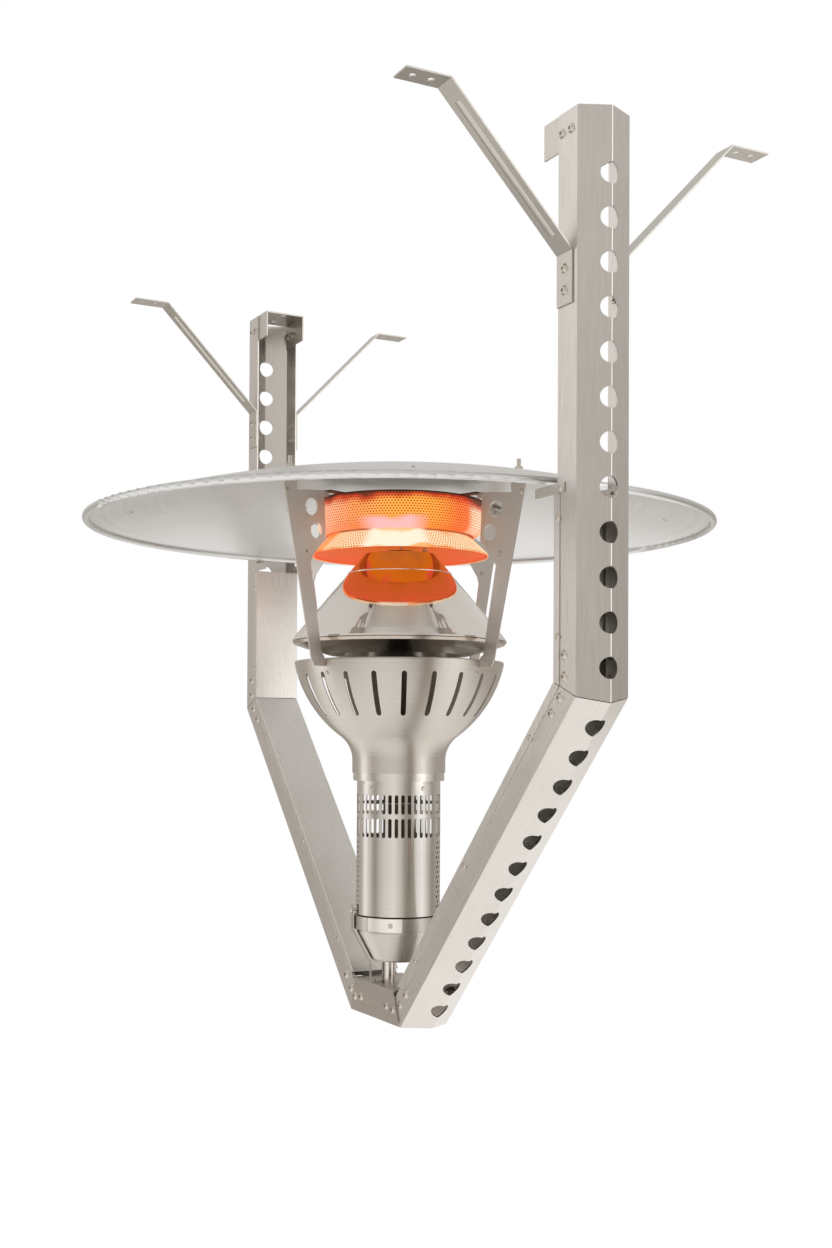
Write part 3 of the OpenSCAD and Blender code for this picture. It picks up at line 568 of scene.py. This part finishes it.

# %% [markdown]
# ## The glowing screen
# The head burns gas behind a fine perforated steel screen. Hot steel glows from dark red at
# the top edge, through orange, to yellow where the flame is fiercest. One colour by
# height is multiplied by one colour by direction round the axis. On one side, the pink glow of
# the flame is painted on the foot of the band.

# %% Glowing steel
BAND_Z = (-0.432, -0.384)
SKIRT_Z = (-0.460, -0.433)
FLAME_AZ = (-58, -44, -20, -6)
FLAME_Z = (-0.423, -0.416)


def soft_step(tree, value, low, high):
    """0 below low, 1 above high, and a straight rise between them."""
    return add(tree, "ShaderNodeMapRange", {0: value, 1: low, 2: high, 3: 0.0, 4: 1.0}).outputs[0]


def glowing_steel(name, stops, heights, strength, az_stops, flame=None):
    """Hot steel: colour by height times colour by direction round Z, and a patch of flame."""
    material, tree, shader = new_material(name)
    place, xyz = position(tree)
    wobble = add(
        tree, "ShaderNodeTexNoise", {"Vector": place, "Scale": 22.0, "Detail": 3.0}
    ).outputs["Fac"]
    drift = add(tree, "ShaderNodeMapRange", {0: wobble, 1: 0.3, 2: 0.7, 3: -0.006, 4: 0.006})
    level = calc(tree, "ADD", xyz["Z"], drift.outputs[0])
    rise = soft_step(tree, level, *heights)
    heat = ramp(tree, rise, [(p, srgb(h)) for p, h in stops])
    azimuth = calc(tree, "ARCTAN2", xyz["Y"], xyz["X"])
    around = soft_step(tree, azimuth, -math.pi, math.pi)
    tint = ramp(tree, around, [((a + 180) / 360, srgb(h)) for a, h in az_stops])
    lit = add(tree, "ShaderNodeVectorMath", {0: heat, 1: tint}, operation="MULTIPLY").outputs[0]
    if flame:
        near, full, fading, gone = (math.radians(a) for a in FLAME_AZ)
        arc = calc(
            tree,
            "MULTIPLY",
            soft_step(tree, azimuth, near, full),
            soft_step(tree, azimuth, gone, fading),
        )
        foot = soft_step(tree, level, FLAME_Z[1], FLAME_Z[0])
        patch = calc(tree, "MULTIPLY", arc, foot)
        lit = add(tree, "ShaderNodeMixRGB", {0: patch, 1: lit, 2: srgb(flame)}).outputs[0]
    tree.links.new(lit, shader.inputs["Emission Color"])
    shader.inputs["Emission Strength"].default_value = strength
    shader.inputs["Base Color"].default_value = srgb("#7A3A1C")
    shader.inputs["Roughness"].default_value = 0.6
    return material


print("glowing steel ready")

# %% Glow of the band
PLAIN = [(-180, "#FFFFFF"), (180, "#FFFFFF")]
BAND_HEAT = [
    (0.0, "#FFE0D8"),
    (0.25, "#FFFFFF"),
    (0.72, "#FFFFFF"),
    (0.88, "#D8604A"),
    (1.0, "#3A110B"),
]
BAND_TINT = [
    (-180, "#FFA878"),
    (-125, "#FFC4A0"),
    (-112, "#FFD2B8"),
    (-88, "#FFC09A"),
    (-60, "#FFA862"),
    (-31, "#FFB748"),
    (-4, "#FFB13E"),
    (16, "#FF7C34"),
    (26, "#FF7A36"),
    (32, "#FFDDB4"),
    (43, "#FFEBCB"),
    (60, "#FFC08A"),
    (180, "#FFA878"),
]
# the last colour is the painted glow of the flame on the band's foot
band_glow = glowing_steel("glowing steel, band", BAND_HEAT, BAND_Z, 0.97, BAND_TINT, "#F9BDBB")
BAND_LINER_HEAT = [(0.0, "#C8501C"), (0.6, "#B84414"), (1.0, "#3A110B")]
band_liner_glow = glowing_steel(
    "glowing steel, band liner", BAND_LINER_HEAT, BAND_Z, 0.8, PLAIN, "#FFC6CC"
)
print("band glow from", BAND_TINT[0][0], "to", BAND_TINT[-1][0], "degrees")

# %% Glow of the skirt
SKIRT_HEAT = [(0.0, "#FFC48C"), (0.12, "#FFFFFF"), (0.8, "#FFFFFF"), (1.0, "#FFD8B8")]
SKIRT_TINT = [
    (-180, "#FFC48A"),
    (-118, "#FF9A52"),
    (-88, "#FF9C54"),
    (-80, "#FFE0B0"),
    (-54, "#FFE4B8"),
    (-48, "#FFF6DE"),
    (-12, "#FFF6DE"),
    (-6, "#FFE8BC"),
    (48, "#FFE2B2"),
    (70, "#FFC48A"),
    (180, "#FFC48A"),
]
skirt_glow = glowing_steel("glowing steel, skirt", SKIRT_HEAT, SKIRT_Z, 1.0, SKIRT_TINT)
SKIRT_LINER_TINT = [
    (-180, "#C46A2C"),
    (-118, "#F08C48"),
    (-88, "#F08C48"),
    (-80, "#9C4C18"),
    (-54, "#A8561E"),
    (-48, "#F8EBD0"),
    (-12, "#F8EBD0"),
    (-6, "#AC5C22"),
    (48, "#9C4C18"),
    (180, "#C46A2C"),
]
skirt_liner_glow = glowing_steel(
    "glowing steel, skirt liner", SKIRT_HEAT, SKIRT_Z, 0.9, SKIRT_LINER_TINT
)
print("skirt glow has", len(SKIRT_TINT), "tints")

# %% Glow of the diffuser and the dark ring
cone_heights = [v.co.z for v in nodes["diffuser_cone"].data.vertices]
DIFFUSER_HEAT = [(0.0, "#B8742E"), (0.5, "#C86A1C"), (0.85, "#E87812"), (1.0, "#F0583A")]
diffuser_glow = glowing_steel(
    "glowing steel, diffuser", DIFFUSER_HEAT, (min(cone_heights), max(cone_heights)), 0.9, PLAIN
)
paint(diffuser_glow, "diffuser_cone")
ring_steel = spun_metal("heat-darkened steel", "#4E4038", 2.0, 0.5)
paint(ring_steel, "emitter_top_ring")
print("diffuser from", min(cone_heights), "to", max(cone_heights))

# %% [markdown]
# ## Sheets with real holes
# The screen is punched sheet rolled into a band and flared into a skirt. Its holes are real
# geometry, because they break the glow into fine dots at every angle. The sheet is laid out in
# columns round the axis and rows along its outline, and each cell is a square with a round
# hole. Real holes sit about 2 mm apart; they are drawn 4.2 mm apart so that they show.


def screen_piece(name, verts, faces, material):
    """A new visible piece that belongs to the fixed body."""
    mesh = bpy.data.meshes.new(name)
    mesh.from_pydata(verts, [], faces)
    mesh.materials.append(material)
    piece = bpy.data.objects.new(name, mesh)
    scene.collection.objects.link(piece)
    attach(piece, "heater")
    return piece


# %% Perforated sheet
def point_on(path, lengths, s):
    """The point at distance s along a path of (radius, height) points."""
    for (a, b), start, end in zip(zip(path, path[1:]), lengths, lengths[1:]):
        if s <= end or end == lengths[-1]:
            t = (s - start) / (end - start)
            return a[0] + (b[0] - a[0]) * t, a[1] + (b[1] - a[1]) * t


def perforated(name, path, pitch, hole, material):
    """Sheet spun from a path of (radius, height) points, with staggered round holes."""
    lengths = [0.0]
    for a, b in zip(path, path[1:]):
        lengths.append(lengths[-1] + math.dist(a, b))
    rows = max(2, round(lengths[-1] / (pitch * ROW_RATIO)))
    radius = sum(p[0] for p in path) / len(path)
    columns = round(2 * math.pi * radius / pitch)
    verts, faces, seen_at = [], [], {}

    def vertex(col, row):
        """A shared vertex at a fractional column and row, kept once."""
        key = (round(col * 1000) % (columns * 1000), round(row * 1000))
        if key not in seen_at:
            r, z = point_on(path, lengths, lengths[-1] * row / rows)
            turn_at = 2 * math.pi * col / columns
            seen_at[key] = len(verts)
            verts.append((r * math.cos(turn_at), r * math.sin(turn_at), z))
        return seen_at[key]

    half_hole = hole / pitch / 2
    square = [(0.5, 0), (0.5, 0.5), (0, 0.5), (-0.5, 0.5)]
    frame_points = square + [(-x, -y) for x, y in square]
    eighths = [k * math.pi / 4 for k in range(8)]
    # rows are closer than columns, so a round hole is taller when counted in rows
    ring = [(half_hole * math.cos(a), half_hole * 1.1 * math.sin(a)) for a in eighths]
    for row in range(rows):
        middle_row = row + 0.5
        shift = 0.5 * (row % 2)
        for col in range(columns):
            middle = col + shift
            outer = [vertex(middle + x, middle_row + y) for x, y in frame_points]
            inner = [vertex(middle + x, middle_row + y) for x, y in ring]
            for k in range(8):
                n = (k + 1) % 8
                faces.append((outer[k], outer[n], inner[n], inner[k]))
    print(name, rows, "rows,", columns, "holes round,", len(faces), "faces")
    return screen_piece(name, verts, faces, material)


# %% Band and skirt
HOLE_PITCH = 4.2 * MM
HOLE_D = 2.6 * MM


def spun_path(points):
    """An outline given in millimetres, as metres."""
    return [(r * MM, z * MM) for r, z in points]


# a straight wall, then an inward turn of 14 mm radius; the skirt flares out from there
FOOT_R = 14
foot_angles = [math.radians(a) for a in range(0, -81, -16)]
foot = [(103.8 + FOOT_R * math.cos(a), -418 + FOOT_R * math.sin(a)) for a in foot_angles]
band_path = spun_path([(117.8, -384)] + foot)
SKIRT_OUTLINE = [(101.4, -433.4), (104, -435.6), (125.6, -455.6), (127, -457.4), (127, -460)]
skirt_path = spun_path(SKIRT_OUTLINE)
band = perforated("perforated_band", band_path, HOLE_PITCH, HOLE_D, band_glow)
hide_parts("emitter_band")
skirt = perforated("perforated_skirt", skirt_path, HOLE_PITCH, HOLE_D, skirt_glow)
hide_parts("emitter_skirt")

# %% [markdown]
# ## What glows behind the holes
# Through the holes the eye meets the inside of the burner, which is cooler and darker than the
# sheet. Three plain spun liners stand for it: one behind the band, one behind the skirt, and a
# third, further in, that is seen from below and in the mirror cone.


# %% Liners behind the holes
def spun_piece(name, path, material, segments=160):
    """A thin smooth piece spun from (radius, height) points."""
    verts, faces = [], []
    for r, z in path:
        for k in range(segments):
            a = 2 * math.pi * k / segments
            verts.append((r * math.cos(a), r * math.sin(a), z))
    for low in range(0, (len(path) - 1) * segments, segments):
        high = low + segments
        for k in range(segments):
            n = (k + 1) % segments
            faces.append((low + k, low + n, high + n, high + k))
    piece = screen_piece(name, verts, faces, material)
    piece.data.shade_smooth()
    return piece


print("spun piece ready")

# %% Three liners
LINER_GAP = 2.5 * MM
LINER_LIFT = 0.4 * MM
INSIDE_GAP = 2 * MM
band_lining = [(r - LINER_GAP, z) for r, z in band_path]
spun_piece("band_liner", band_lining, band_liner_glow)
skirt_lining = [band_lining[-1]] + [(r - LINER_GAP, z + LINER_LIFT) for r, z in skirt_path]
spun_piece("skirt_liner", skirt_lining, skirt_liner_glow)
INSIDE_HEAT = [(0.0, "#F2603A"), (0.3, "#DC6420"), (0.6, "#A84E16"), (1.0, "#8A3A12")]
inside_z = (SKIRT_Z[0], BAND_Z[1])
inside_glow = glowing_steel("glowing steel, inside", INSIDE_HEAT, inside_z, 0.85, PLAIN)
inner_lining = [(r - INSIDE_GAP, z) for r, z in band_lining + skirt_lining[1:]]
spun_piece("screen_inside", inner_lining, inside_glow)
print("liners in place")
